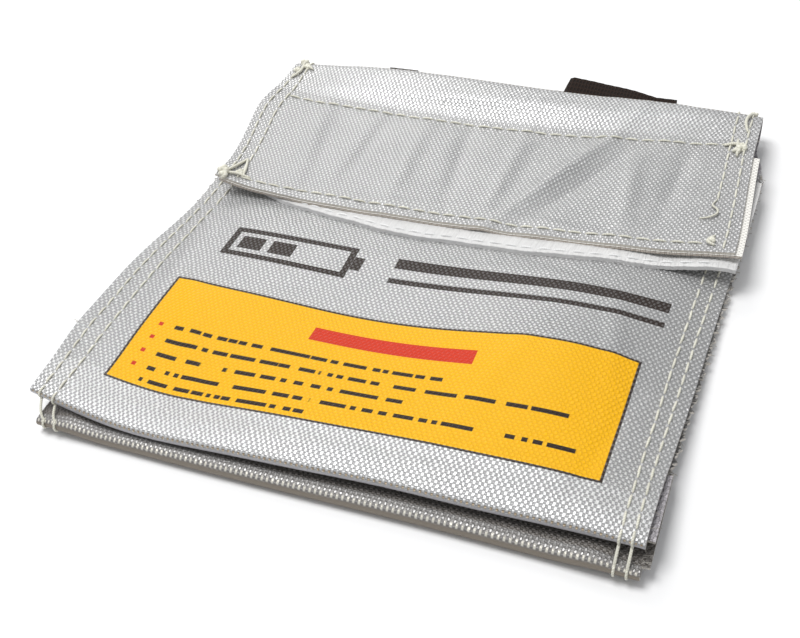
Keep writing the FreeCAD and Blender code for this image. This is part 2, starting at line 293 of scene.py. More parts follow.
def flap_point(x, s):
    """Middle of the flap cloth. s runs down the flap from the top fold, round it when negative."""
    x, s = paired(x, s)
    y0, low, radius = top_roll(x)
    edge = FLAP_EDGE + 0.7 * np.sin(x / 26.0 + 0.5)
    down = np.clip(s, 0, None) * (y0 - edge) / FLAP_RUN
    z = flap_top(x, y0 - down) - CLOTH / 2
    z = z + (low + 2 * radius - flap_top(x, y0) + CLOTH / 2) * ease(s, 6, 0)
    turn = np.clip(math.pi * (1 + s / TOP_ARC), 0, math.pi)
    y = np.where(s < 0, y0 + radius * np.sin(turn), y0 - down)
    z = np.where(s < 0, low + radius - radius * np.cos(turn), z)
    drawn_in = 5.8 * near_side(x, -1, 2) * ease(y, FLAP_EDGE + 55, FLAP_EDGE)
    drawn_in = drawn_in + 3.0 * near_side(x, -1, 8) * ease(y, 148, 170)
    pushed_out = 2.0 * near_side(x, 1, 3) * ease(y, FLAP_EDGE + 60, FLAP_EDGE)
    return np.stack([x + drawn_in + pushed_out, y, z], -1)


def loop_point(x, v):
    """Middle of the loop strip. v goes from 0 at its lower edge to 1 at its upper one."""
    x, v = paired(x, v)
    climb = 9.6 * ease(-x, 8, 88) + 3.4 * ease(x, 36, 82) + 5.0 * ease(-x, 58, 84)
    waver = 0.25 * np.sin(x / 6.3) + 0.15 * np.sin(x / 2.7)
    low = LOOP_LOW + climb + waver
    y = low + v * (LOOP_HIGH - low)
    lifted = 4.6 * ease(x, 68, 90) * (1 - 0.3 * ease(y, 120, 145))
    z = panel_top(x, y) + LOOP / 2 + NEAR + lifted
    return np.stack([x + skew(x, y), y, z], -1)


def tucked(x):
    """The gusset's ends are drawn in at the left side."""
    return x + 4.6 * near_side(x, -1, 6)


def upper_ply_point(x, s):
    """Middle of the gusset's upper ply, from the front fold's lip in to the inner fold."""
    x, s = paired(x, s)
    lip = front_point(x, np.full_like(x, -FOLD_ARC - LIP))
    inner = np.minimum(6.3, panel_top(x, np.full_like(x, INNER_FOLD + 0.4)) - 1.5 * CLOTH - 0.1)
    t = s / UPPER_PLY
    y = lip[..., 1] + (INNER_FOLD - lip[..., 1]) * t
    z = lip[..., 2] + (inner - lip[..., 2]) * ease(t, 0, 1)
    return np.stack([tucked(x), y, z], -1)


def lower_ply_point(x, s):
    """Middle of the gusset's lower ply, from the back fold's lip in and round the inner fold."""
    x, s = paired(x, s)
    lip = back_point(x, np.full_like(x, -FOLD_ARC - LIP))
    t = np.clip(s / LOWER_PLY, 0, 1)
    turn = np.clip((s - LOWER_PLY) / 1.1, 0, math.pi / 2)
    y = lip[..., 1] + (INNER_FOLD + 1 - lip[..., 1]) * t + 0.6 * np.sin(turn)
    z = lip[..., 2] + (4.1 - lip[..., 2]) * ease(t, 0, 1) + 0.8 * (1 - np.cos(turn))
    return np.stack([tucked(x), y, z], -1)


def margin_point(side):
    def point(x, s):
        """Middle of the side margin: the seam allowance between the front and back cloths."""
        x, s = paired(x, s)
        upper = panel_top(x, s) - CLOTH
        lower = back_low(x, s) + CLOTH
        share = 0.45 + 0.12 * np.sin(s / 17 + side)
        return np.stack([x + skew(x, s), s, lower + (upper - lower) * share], -1)

    return point


def strap_point(x, v):
    """Middle of the carry strap. v goes from 0 at its inner edge to 1 at its outer one."""
    x, v = paired(x, v)
    over_tab = (WEBBING + 0.1) * ease(np.abs(x - STRAP_MIDDLE), 28, 44)
    v = np.clip(v, -0.1, 1.1)
    outer = ease(v, 0.15, 1.0)
    pulled_in = 4.2 * ease(x, 18.6, 16.6) + 0.9 * ease(-x, 34, 42) + 4.6 * ease(x, 26, 58)
    rise = 4.0 * ease(x, 16.2, 18.4) * np.clip((56 - x) / 37, 0, 1)
    y = STRAP[0][1] + v * (STRAP[1][1] - STRAP[0][1]) - pulled_in * outer
    z = (STRAP[0][2] + STRAP[1][2]) / 2 + over_tab + rise * outer
    return np.stack([x, y, z], -1)


def strap_end_point(tab):
    def point(x, v):
        """Middle of a strap end, which is folded lengthways and lies level."""
        x, v = paired(x, v)
        y = tab[0][1] + v * (STRAP[1][1] - 1.2 - tab[0][1])
        return np.stack([x, y, np.full_like(x, (tab[0][2] + tab[1][2]) / 2)], -1)

    return point


def under_strap(tab):
    def point(x, s):
        """The level face under a strap end."""
        return np.stack([x, s, np.full(np.shape(x), tab[0][2] - 0.02)], -1)

    return point


def normal(point, x, s, reach=0.075):
    """Unit normal of a surface. reach is the step it takes along s."""
    across = point(x + 0.15, s) - point(x - 0.15, s)
    along = point(x, s + reach) - point(x, s - reach)
    n = np.cross(across, along)
    return n / np.maximum(np.linalg.norm(n, axis=-1, keepdims=True), 1e-9)


# The same for a surface whose second coordinate goes from 0 to 1
unit_normal = partial(normal, reach=0.004)


# Uneven edges and faces
def frayed(side, x, s):
    """The cut edge of a side margin."""
    out = ease(np.abs(x), 86, 90)
    teeth = 0.55 * np.sin(s * 2.9) + 0.45 * np.sin(s * 1.3 + 2 * side) + 0.4 * np.sin(s * 5.7)
    return np.stack([side * out * (0.5 + teeth * 0.8), 0 * x, out * 0.3 * np.sin(s * 1.9)], -1)


def fluffy(x, v):
    """The loop strip's pile."""
    z = 0.09 * np.sin(x * 3.1 + 5 * np.sin(v * 31)) + 0.07 * np.sin(v * 97 + x)
    return np.stack([0 * x, 0 * x, z], -1)


def ribbed(x, v):
    """The webbing's ribs."""
    return np.stack([0 * x, 0 * x, 0.05 * np.sin(x * 5.0 + v * 40)], -1)


# Meshes
def to_row(points):
    """Points of this script in the shared frame, in metres."""
    return (np.asarray(points) + [0, FRONT, 0]) * MM


def make_object(name, points, faces, flat, rim_start=None):
    """A mesh with its flat coordinates. Faces from rim_start on are cut edges, shaded flat."""
    mesh = bpy.data.meshes.new(name)
    mesh.from_pydata(to_row(points).tolist(), [], [tuple(int(i) for i in f) for f in faces])
    mesh.attributes.new("flat", "FLOAT_VECTOR", "POINT")
    mesh.attributes["flat"].data.foreach_set("vector", np.asarray(flat, np.float32).ravel())
    shaded = np.ones(len(mesh.polygons), bool)
    if rim_start is not None:
        shaded[rim_start:] = False
        rim_edges = {key for face in list(mesh.polygons)[rim_start:] for key in face.edge_keys}
        sharp = [edge.key in rim_edges for edge in mesh.edges]
        mesh.attributes.new("sharp_edge", "BOOLEAN", "EDGE").data.foreach_set("value", sharp)
    mesh.polygons.foreach_set("use_smooth", shaded)
    mesh.update()
    obj = bpy.data.objects.new(name, mesh)
    bpy.context.scene.collection.objects.link(obj)
    return obj


def grid_faces(rows, columns, first, flip):
    """Quads of a grid whose points are numbered along the columns first."""
    i, j = np.meshgrid(np.arange(rows - 1), np.arange(columns - 1), indexing="ij")
    a = first + i * columns + j
    quads = np.stack([a, a + columns, a + columns + 1, a + 1], -1).reshape(-1, 4)
    return quads[:, ::-1] if flip else quads


def shell(name, point, xs, ss, low, high, outward=1, normals=normal, ragged=None):
    """A closed sheet of cloth over a surface, from lift low to lift high above its middle."""
    x, s = np.meshgrid(xs, ss, indexing="ij")
    middle, up = point(x, s), normals(point, x, s) * outward
    if ragged is not None:
        middle = middle + ragged(x, s)
    rows, columns = x.shape
    count = rows * columns
    outer, inner = middle + up * high, middle + up * low
    points = np.concatenate([outer.reshape(-1, 3), inner.reshape(-1, 3)])
    flat = np.stack([x, s, np.ones_like(x)], -1).reshape(-1, 3)
    flat = np.concatenate([flat, flat * [1, 1, -1]])
    faces = [grid_faces(rows, columns, 0, outward < 0)]
    faces.append(grid_faces(rows, columns, count, outward > 0))
    smooth_count = 2 * (rows - 1) * (columns - 1)
    index = np.arange(count).reshape(rows, columns)
    for edge in (index[0, ::-1], index[-1], index[:, 0], index[::-1, -1]):
        a, b = edge[:-1], edge[1:]
        rim = np.stack([a, a + count, b + count, b], -1)
        faces.append(rim[:, ::-1] if outward > 0 else rim)
    faces = np.concatenate(faces)
    return make_object(name, points, faces, flat, smooth_count)


def spaced(start, end, step):
    """Places from start to end, about a step apart."""
    return np.linspace(start, end, max(2, int(round(abs(end - start) / step)) + 1))


def tubes(name, paths, sides=7):
    """One object of thread tubes. Each path is (points, ups, radii)."""
    points, faces, flat = [], [], []
    angles = np.arange(sides) * 2 * math.pi / sides
    for line, ups, radii in paths:
        along = np.gradient(line, axis=0)
        along /= np.linalg.norm(along, axis=1, keepdims=True)
        side = np.cross(along, ups)
        side /= np.maximum(np.linalg.norm(side, axis=1, keepdims=True), 1e-9)
        up = np.cross(side, along)
        ring = np.cos(angles)[:, None] * side[:, None] + np.sin(angles)[:, None] * up[:, None]
        rings = line[:, None] + ring * np.asarray(radii)[:, None, None]
        first = sum(len(p) for p in points)
        n = len(line)
        run = np.concatenate([[0], np.cumsum(np.linalg.norm(np.diff(line, axis=0), axis=1))])
        points.append(rings.reshape(-1, 3))
        shade = np.full(n * sides, rng.random())
        flat.append(np.stack([np.repeat(run, sides), np.tile(angles, n), shade], -1))
        for i in range(n - 1):
            for j in range(sides):
                a, b = first + i * sides + j, first + i * sides + (j + 1) % sides
                faces.append((a, b, b + sides, a + sides))
        faces.append(tuple(first + j for j in range(sides))[::-1])
        faces.append(tuple(first + (n - 1) * sides + j for j in range(sides)))
    return make_object(name, np.concatenate(points), faces, np.concatenate(flat))


def stitch_paths(point, xs, ss, lift, outward=1, pitch=5.3, fill=0.84, radius=0.37, normals=normal):
    """Stitches along a line on a surface, given by points (x, s) of the surface."""
    xs, ss = np.asarray(xs, float), np.asarray(ss, float)
    fine = np.linspace(0, len(xs) - 1, 40 * (len(xs) - 1) + 1)
    x, s = np.interp(fine, np.arange(len(xs)), xs), np.interp(fine, np.arange(len(xs)), ss)
    track = point(x, s)
    run = np.concatenate([[0], np.cumsum(np.linalg.norm(np.diff(track, axis=0), axis=1))])
    count = max(1, int(round(run[-1] / pitch)))
    step = run[-1] / count
    t = np.linspace(0, 1, 8)
    paths = []
    for k in range(count):
        start = (k + (1 - fill) / 2 + rng.uniform(-0.04, 0.04)) * step
        places = start + t * step * fill
        px, ps = np.interp(places, run, x), np.interp(places, run, s)
        up = normals(point, px, ps) * outward
        sway = rng.uniform(-0.13, 0.13) * (2 * t - 1) + rng.uniform(-0.06, 0.06)
        arch = np.sin(math.pi * t)
        line = point(px, ps) + up * (lift - 0.3 + (0.42 + 0.08 * rng.random()) * arch**0.6)[:, None]
        along = np.gradient(line, axis=0)
        side = np.cross(along, up)
        side /= np.linalg.norm(side, axis=1, keepdims=True)
        line = line + side * sway[:, None]
        paths.append((line, up, radius * (0.62 + 0.38 * arch**0.5)))
    return paths


def strand(point, ends, lift, outward=-1, radius=0.55, arch=0.5):
    """One loose strand over a surface, through points (x, s)."""
    xs, ss = np.array(ends, float).T
    t = np.linspace(0, len(xs) - 1, 7 * (len(xs) - 1) + 1)
    weights = cardinal(np.arange(len(xs)), t)
    x, s = weights @ xs, weights @ ss
    up = normal(point, x, s) * outward
    share = np.sin(math.pi * t / t[-1])
    line = point(x, s) + up * (lift + arch * share)[:, None]
    return line, up, radius * (0.7 + 0.3 * share)


def knot(point, x, s, lift, outward=-1, size=1.0, radius=0.6):
    """A small overhand knot of thread standing on a surface."""
    t = np.linspace(0, 2 * math.pi, 40)
    up = (normal(point, np.array([x]), np.array([s])) * outward)[0]
    one = np.cross(up, [0.3, 1, 0.1])
    one /= np.linalg.norm(one)
    two = np.cross(up, one)
    centre = point(np.array([x]), np.array([s]))[0] + up * (lift + 0.55 * size)
    a = (np.sin(t) + 2 * np.sin(2 * t)) * 0.33 * size
    b = (np.cos(t) - 2 * np.cos(2 * t)) * 0.33 * size
    c = -np.sin(3 * t) * 0.42 * size
    line = centre + a[:, None] * one + b[:, None] * two + c[:, None] * up
    return line, np.tile(up + 0.01, (len(t), 1)), np.full(len(t), radius)


# Materials
class Net:
    """Short names for building a material's nodes."""

    def __init__(self, name):
        self.material = bpy.data.materials.new(name)
        self.material.use_nodes = True
        self.tree = self.material.node_tree
        self.shader = next(n for n in self.tree.nodes if n.type == "BSDF_PRINCIPLED")
        self.flat = self.node("ShaderNodeAttribute", attribute_name="flat")
        split = self.node("ShaderNodeSeparateXYZ")
        self.link(self.flat.outputs["Vector"], split.inputs[0])
        self.x, self.y, self.layer = split.outputs

    def node(self, kind, **settings):
        node = self.tree.nodes.new(kind)
        for key, value in settings.items():
            setattr(node, key, value)
        return node

    def link(self, a, b):
        self.tree.links.new(a, b)

    def feed(self, value, socket):
        if isinstance(value, bpy.types.NodeSocket):
            self.link(value, socket)
        else:
            socket.default_value = value

    def math(self, operation, *values):
        node = self.node("ShaderNodeMath", operation=operation)
        for value, socket in zip(values, node.inputs):
            self.feed(value, socket)
        return node.outputs[0]

    def mix(self, share, a, b):
        node = self.node("ShaderNodeMix", data_type="RGBA")
        self.feed(share, node.inputs[0])
        for value, socket in ((a, node.inputs[6]), (b, node.inputs[7])):
            self.feed(value if isinstance(value, bpy.types.NodeSocket) else (*value, 1), socket)
        return node.outputs[2]

    def ramp(self, value, low, high, to_low=0.0, to_high=1.0):
        node = self.node("ShaderNodeMapRange", interpolation_type="SMOOTHSTEP")
        for v, socket in zip((value, low, high, to_low, to_high), node.inputs):
            self.feed(v, socket)
        return node.outputs[0]

    def noise(self, scale, detail=3.0, roughness=0.5):
        node = self.node("ShaderNodeTexNoise")
        node.inputs["Scale"].default_value = scale
        node.inputs["Detail"].default_value = detail
        node.inputs["Roughness"].default_value = roughness
        self.link(self.flat.outputs["Vector"], node.inputs["Vector"])
        return node.outputs[0]

    def band(self, value, low, high, soft=0.12):
        """1 where value is between low and high."""
        rise = self.ramp(value, low - soft, low + soft)
        fall = self.ramp(value, high - soft, high + soft, 1.0, 0.0)
        return self.math("MULTIPLY", rise, fall)

    def block(self, left, right, low, high):
        """1 inside a rectangle of the flat cloth."""
        return self.both(self.band(self.x, left, right), self.band(self.y, low, high))

    def wave(self, shape, value, times):
        """Sine or cosine of a multiple of a value."""
        return self.math(shape, self.math("MULTIPLY", value, times))

    def both(self, a, b):
        return self.math("MULTIPLY", a, b)

    def either(self, *masks):
        total = masks[0]
        for mask in masks[1:]:
            total = self.math("MAXIMUM", total, mask)
        return total

    def bump(self, height, distance, strength=1.0):
        node = self.node("ShaderNodeBump")
        node.inputs["Strength"].default_value = strength
        node.inputs["Distance"].default_value = distance
        self.link(height, node.inputs["Height"])
        self.link(node.outputs[0], self.shader.inputs["Normal"])

    def set(self, **values):
        for key, value in values.items():
            self.feed(value, self.shader.inputs[key.replace("_", " ")])


# Spacing of the weave's floats
FLOATS_ACROSS, FLOATS_ALONG = 1.56, 2.27

# Where the bottom folds' colours lie, a painted glint and painted shade, as flat distances round a
# fold, and the ribs on them
FOLD_RIBS = 4.03
# GLINT: a painted highlight row on the back fold's ribs
GLINT = (-5.1, -4.2)
# BACK_FACE: the back fold's plain face, painted dark brown as painted shade
BACK_FACE = (-4.0, 1.0)
# FRONT_DASHES: brown dashes of painted shade on the front fold's ribs
FRONT_DASHES = (-2.2, -1.3)

# The printed panel and its border on the flat front cloth
PANEL = (-71.8, 73.8, 13.4, 57.2)
BORDER = 0.75
ROW_PITCH = 5.55


def weave(net):
    """Staggered lattice of raised oval floats, 0 between them and 1 on them. Broader near a fold,
    which paints a highlight band there.
    """
    wander = net.math("MULTIPLY", net.math("SUBTRACT", net.noise(0.35, 2.0), 0.5), 1.1)
    x = net.math("ADD", net.x, wander)
    y = net.math("ADD", net.y, net.math("MULTIPLY", wander, 0.8))
    a = net.wave("COSINE", x, 2 * math.pi / FLOATS_ACROSS)
    b = net.wave("COSINE", y, 2 * math.pi / FLOATS_ALONG)
    lattice = net.both(a, b)
    rows = net.ramp(net.wave("COSINE", y, 4 * math.pi / FLOATS_ALONG), 0.55, 1.0, 0.0, 0.42)
    # Painted highlight: within about 15 mm of a fold the floats are drawn wider, so the cloth there
    # is painted lighter.
    from_fold = net.math("ADD", net.y, net.ramp(net.x, 10.0, 80.0, 0.0, 2.0))
    fold_highlight_band = net.both(net.ramp(from_fold, 15.6, 14.0), net.ramp(net.y, -2.0, 0.0))
    highlight_widening = net.math("MULTIPLY", fold_highlight_band, 0.27)
    low = net.math("SUBTRACT", -0.25, highlight_widening)
    high = net.math("SUBTRACT", 0.62, highlight_widening)
    return net.math("MAXIMUM", net.ramp(lattice, low, high), rows)


def silver(name, printed=False, painted_shade=0.0, fold=True):
    """Coated glass cloth: floats painted bright on grey as painted glints, a plain lilac-grey inside,
    pale cut edges, and painted shade and glints on the bottom folds.
    """
    net = Net(name)
    floats = weave(net)
    grey = net.mix(net.noise(0.06, 3.0), (0.30, 0.30, 0.305), (0.40, 0.398, 0.395))
    # The floats' light colour is painted glint.
    bright = net.mix(net.noise(1.9, 2.0), (0.50, 0.50, 0.505), (0.88, 0.88, 0.875))
    outside = net.mix(floats, grey, bright)
    ribs = net.ramp(net.wave("COSINE", net.x, FOLD_RIBS), -0.2, 0.7)
    plain = 0.0
    # Painted shade: this share darkens the cloth towards dark brown, for the pieces that lie in
    # shade.
    if painted_shade:
        outside = net.mix(painted_shade, outside, (0.11, 0.09, 0.07))
        if fold:
            # Painted highlight: a row of cream glints along the back fold's ribs.
            glint = net.both(net.band(net.y, *GLINT, 0.3), ribs)
            outside = net.mix(glint, outside, (0.92, 0.88, 0.78))
            # Painted shade: the back fold's face toward the floor is painted plain and dark brown.
            plain = net.band(net.y, *BACK_FACE, 0.3)
            outside = net.mix(plain, outside, (0.24, 0.21, 0.175))
    else:
        # Painted shade: brown dashes on the ribs round the front fold's edge.
        dashes = net.both(net.band(net.y, *FRONT_DASHES, 0.25), ribs)
        outside = net.mix(net.math("MULTIPLY", dashes, 0.8), outside, (0.30, 0.22, 0.12))
        below = net.ramp(net.y, FRONT_DASHES[0], FRONT_DASHES[0] - 0.4)
        plain = net.both(below, net.ramp(net.layer, 0.0, 0.9))
        outside = net.mix(plain, outside, (0.56, 0.555, 0.58))
    floats = net.both(floats, net.math("SUBTRACT", 1.0, plain))
    metal = 0.62
    if printed:
        ink, cover = print_marks(net, floats)
        outside = net.mix(cover, outside, ink)
        metal = net.math("MULTIPLY", net.math("SUBTRACT", 1.0, cover), metal)
    inside = net.mix(net.noise(2.6, 4.0), (0.38, 0.36, 0.38), (0.52, 0.50, 0.52))
    is_inside = net.ramp(net.layer, -0.9, -0.98)
    is_rim = net.both(net.ramp(net.layer, 0.98, 0.9), net.ramp(net.layer, -0.98, -0.9))
    colour = net.mix(is_inside, outside, inside)
    cut_ends = net.mix(net.noise(5.0, 3.0), (0.34, 0.31, 0.28), (0.84, 0.81, 0.74))
    colour = net.mix(is_rim, colour, cut_ends)
    rough = net.ramp(floats, 0.0, 1.0, 0.46, 0.30)
    net.set(Base_Color=colour, Metallic=metal, Roughness=rough)
    net.shader.inputs["Specular IOR Level"].default_value = 0.3
    fine = net.math("MULTIPLY", net.noise(7.0, 3.0), 0.25)
    net.bump(net.math("ADD", floats, fine), 0.00022)
    return net.material


def broken_rows(net):
    """Mask that breaks rows into pieces, each row in its own places."""
    gaps = net.node("ShaderNodeTexNoise", noise_dimensions="2D")
    gaps.inputs["Scale"].default_value = 1.0
    gaps.inputs["Detail"].default_value = 0.0
    cell = net.node("ShaderNodeCombineXYZ")
    row = net.math("ROUND", net.math("DIVIDE", net.y, ROW_PITCH))
    net.link(net.math("MULTIPLY", net.x, 0.34), cell.inputs[0])
    net.link(net.math("MULTIPLY", row, 9.7), cell.inputs[1])
    net.link(cell.outputs[0], gaps.inputs["Vector"])
    return net.ramp(gaps.outputs[0], 0.40, 0.44)


def print_marks(net, floats):
    """A yellow panel with a dark border, plain bars for its lines, and plain dark shapes above."""
    # The yellow is painted lighter on the floats: painted glint through the print.
    yellow = net.mix(floats, (0.90, 0.455, 0.0), (1.0, 0.525, 0.004))
    dark, red = (0.022, 0.012, 0.008), (0.66, 0.035, 0.008)
    left, right, low, high = PANEL
    panel = net.block(*PANEL)
    border = net.block(left - BORDER, right + BORDER, low - BORDER, high + BORDER)
    lines = [
        net.block(-62, end, y - 0.75, y + 0.75)
        for y, end in ((37.0, 25), (31.5, 61), (26.0, 16), (20.5, 67), (15.8, -9))
    ]
    bars = net.both(net.either(*lines), broken_rows(net))
    dots = [net.block(-67.4, -66.0, y - 0.7, y + 0.7) for y in (37.0, 31.5, 26.0, 20.5)]
    heading = net.block(-21, 30, 44.2, 49.8)
    case = net.block(-66, -22, 72.5, 86.5)
    hollow = net.block(-63.8, -24.2, 74.7, 84.3)
    terminal = net.block(-22, -18.5, 76.6, 82.4)
    cells = [net.block(x, x + 8.4, 76.5, 82.5) for x in (-61.8, -50.8)]
    rules = [net.block(-8, 77, 80.6, 85.0), net.block(-8, 77, 74.0, 76.2)]
    above = net.either(net.math("SUBTRACT", case, hollow), terminal, *cells, *rules)
    ink = net.mix(panel, dark, yellow)
    ink = net.mix(bars, ink, dark)
    ink = net.mix(net.either(heading, *dots), ink, red)
    worn = net.ramp(floats, 0.0, 1.0, 1.0, 0.86)
    cover = net.either(panel, net.both(net.either(border, above), worn))
    return ink, cover


def thread_material(name, light, dark):
    """Twisted thread. Each stitch has its own tone."""
    net = Net(name)
    spiral = net.math("ADD", net.math("MULTIPLY", net.x, 9.0), net.math("MULTIPLY", net.y, 2.0))
    ply = net.ramp(net.math("SINE", spiral), -0.7, 0.7)
    tone = net.mix(net.layer, [0.86 * part for part in light], light)
    colour = net.mix(ply, net.mix(0.45, tone, dark), tone)
    net.set(Base_Color=colour, Roughness=0.55)
    net.shader.inputs["Sheen Weight"].default_value = 0.3
    net.bump(ply, 0.00008, 0.8)
    return net.material


def lining_material():
    """Plain woven cloth, a little soiled in patches."""
    net = Net("lining")
    plain = net.ramp(net.both(net.wave("SINE", net.x, 7.4), net.wave("SINE", net.y, 7.4)), -0.6, 0.6)
    colour = net.mix(plain, (0.60, 0.585, 0.54), (0.78, 0.77, 0.73))
    colour = net.mix(net.math("MULTIPLY", net.noise(0.12), 0.35), colour, (0.56, 0.53, 0.48))
    net.set(Base_Color=colour, Roughness=0.8)
    net.bump(net.math("ADD", plain, net.noise(4.0)), 0.0001, 0.7)
    return net.material


def loop_material():
    """White pile."""
    net = Net("loop_tape")
    pile = net.noise(2.6, 5.0, roughness=0.75)
    curls = net.node("ShaderNodeTexVoronoi")
    curls.inputs["Scale"].default_value = 1.6
    net.link(net.flat.outputs["Vector"], curls.inputs["Vector"])
    height = net.math("ADD", pile, net.math("MULTIPLY", curls.outputs[0], 0.8))
    colour = net.mix(pile, (0.70, 0.69, 0.68), (0.95, 0.95, 0.94))
    net.set(Base_Color=colour, Roughness=0.9)
    net.shader.inputs["Sheen Weight"].default_value = 0.6
    net.bump(height, 0.0005, 0.9)
    return net.material


def hook_material():
    """Cream tape with rows of hooks on its underside and two brown lines along its edge, painted as
    shadow lines.
    """
    net = Net("hook_tape")
    hooks = net.ramp(net.both(net.wave("SINE", net.x, 4.2), net.wave("SINE", net.y, 4.2)), 0.1, 0.8)
    back = net.mix(net.noise(3.0), (0.86, 0.83, 0.77), (0.95, 0.94, 0.90))
    face = net.mix(hooks, (0.55, 0.52, 0.47), (0.90, 0.89, 0.86))
    brown = net.mix(net.noise(3.0), (0.20, 0.13, 0.08), (0.34, 0.24, 0.16))
    # Painted shadow: two brown lines round the tape's edge, where shade falls between the layers.
    lines = net.either(net.band(net.layer, 0.2, 0.75, 0.1), net.band(net.layer, -0.8, -0.3, 0.1))
    colour = net.mix(lines, back, brown)
    colour = net.mix(net.ramp(net.layer, -0.9, -0.98), colour, face)
    net.set(Base_Color=colour, Roughness=0.6)
    net.bump(hooks, 0.0004, 0.9)
    return net.material


def webbing_material():
    """Dark brown webbing with ribs along it."""
    net = Net("webbing")
    ribs = net.wave("SINE", net.x, 2 * math.pi / 1.25)
    rows = net.math("SINE", net.math("ADD", net.math("MULTIPLY", net.y, 2 * math.pi / 0.085), ribs))
    body = net.ramp(net.math("MAXIMUM", ribs, rows), -0.2, 0.95)
    colour = net.mix(body, (0.004, 0.002, 0.001), (0.020, 0.010, 0.006))
    colour = net.mix(net.math("MULTIPLY", net.noise(2.0), 0.3), colour, (0.028, 0.015, 0.009))
    net.set(Base_Color=colour, Roughness=0.7)
    net.shader.inputs["Specular IOR Level"].default_value = 0.2
    net.bump(body, 0.0003, 0.9)
    return net.material


def floor_material():
    net = Net("pale_floor")
    colour = net.mix(net.noise(0.8), (0.93, 0.93, 0.93), (0.95, 0.95, 0.95))
    net.set(Base_Color=colour, Roughness=0.7)
    net.shader.inputs["Specular IOR Level"].default_value = 0.2
    return net.material


MATERIALS = {
    "silver_cloth": silver("silver_cloth"),
    # Copies of the cloth darkened by painted shade: the back fold and side margins some, the gusset
    # plies more.
    "silver_fold_painted_shade": silver("silver_fold_painted_shade", painted_shade=0.45),
    "silver_gusset_painted_shade": silver("silver_gusset_painted_shade", painted_shade=0.75, fold=False),
    "printed_cloth": silver("printed_cloth", printed=True),
    "lining": lining_material(),
    "loop_tape": loop_material(),
    "hook_tape": hook_material(),
    "thread": thread_material("thread", (0.86, 0.85, 0.74), (0.50, 0.46, 0.34)),
    "white_thread": thread_material("white_thread", (0.93, 0.93, 0.92), (0.80, 0.80, 0.79)),
    "webbing": webbing_material(),
}


def row_point(x, y, z):
    """One point of this script in the shared frame."""
    return Vector(to_row(np.array([x, y, z])))


def finish_piece(obj, material, slot, body=None, blend=None, nodes=()):
    """Give a piece its material, the body it rides on and the CAD nodes it replaces. slot is not
    used.
    """
    obj.data.materials.append(MATERIALS[material])
    if blend:
        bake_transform(obj)
    else:
        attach(obj, body)
    if nodes:
        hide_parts(*nodes)
    return obj


def half_blend(side, body):
    """The names and points of a half's blend: the root at its side seam and the body in the middle.
    """
    return ("root", body, row_point(side * HALF, 0, 0), row_point(0, 0, 0))


def half_places(side, reach, step):
    """Places between the middle and one side, in rising order."""
    return spaced(-reach, 0, step) if side < 0 else spaced(0, reach, step)


def half_nodes(side, node):
    """Of two halves, the left one replaces the CAD node."""
    return [node] if side < 0 else []


def finish_half(obj, material, slot, side, body, node):
    blend = half_blend(side, body)
    finish_piece(obj, material, slot, blend=blend, nodes=half_nodes(side, node))


def sew(name, runs, **settings):
    finish_piece(tubes(name, runs), "thread", "thread", **settings)


FLAP_BLEND = ("root", "flap", row_point(0, 176, 2.1), row_point(0, 170, 9.7))
SIDES = ((-1, "left"), (1, "right"))

# Lower and upper side of a layer under a cloth, from the cloth's middle
LINING_LAYER = (-CLOTH / 2 - NEAR - LINING, -CLOTH / 2 - NEAR)
HOOK_LAYER = (-CLOTH / 2 - NEAR - HOOK, -CLOTH / 2 - NEAR)

# Camera at the photograph's angle, in millimetres and degrees
CAMERA_AT = (108.316, -154.930, 230.977)
TURN, DOWN, ROLL = math.radians(26.385), math.radians(43.33), math.radians(7.844)
camera_data = bpy.data.cameras.new("camera")
camera_data.sensor_width = 36
camera_data.lens = 49.39
camera_data.clip_start = 0.01
camera = bpy.data.objects.new("camera", camera_data)
camera.matrix_world = (
    Matrix.Translation(row_point(*CAMERA_AT))
    @ Matrix.Rotation(TURN, 4, "Z")
    @ Matrix.Rotation(math.pi / 2 - DOWN, 4, "X")
    @ Matrix.Rotation(-ROLL, 4, "Z")
)
bpy.context.scene.collection.objects.link(camera)
bpy.context.scene.camera = camera

# Cloth
back = shell(
    "back_cloth", back_point, spaced(-HALF, HALF, STEP),
    np.concatenate([
        spaced(-FOLD_ARC - LIP, -FOLD_ARC, 0.8)[:-1], spaced(-FOLD_ARC, 0, 0.5)[:-1],
        spaced(0, 24, 1.5)[:-1], spaced(24, 150, 3)[:-1],
        spaced(150, 176 - BACK_FOLD, 1.2),
    ]),
    -CLOTH / 2, CLOTH / 2, outward=-1,
)
finish_piece(back, "silver_fold_painted_shade", "silver_cloth", body="root", nodes=["back_panel"])

back_liner = shell(
    "back_lining_cloth", back_point, spaced(BACK_LINING[0][0], BACK_LINING[1][0], 2.5),
    spaced(8, BACK_LINING[1][1] - BACK_FOLD - 2, 2.5),
    *LINING_LAYER, outward=-1,
)
finish_piece(back_liner, "lining", "lining", body="root", nodes=["back_lining"])

flap = shell(
    "flap_cloth_folded", flap_point, spaced(-HALF, HALF, STEP),
    np.concatenate([spaced(-TOP_ARC, 0, 0.8)[:-1], spaced(0, FLAP_RUN, 1.2)]),
    -CLOTH / 2, CLOTH / 2, outward=-1,
)
finish_piece(flap, "silver_cloth", "silver_cloth", blend=FLAP_BLEND, nodes=["flap_cloth"])

hook = shell(
    "hook_strip_tape", flap_point, spaced(-HALF + 2, HALF + 2.1, STEP),
    spaced(HOOK_TOP, HOOK_END, 1.3), *HOOK_LAYER, outward=-1,
)
finish_piece(hook, "hook_tape", "hook_tape", blend=FLAP_BLEND, nodes=["hook_strip"])

flap_liner = shell(
    "flap_lining_cloth", flap_point, spaced(-81, 81, 2.0), spaced(2.0, HOOK_TOP - 1.0, 1.5),
    *LINING_LAYER, outward=-1,
)
finish_piece(flap_liner, "lining", "lining", blend=FLAP_BLEND, nodes=["flap_lining"])

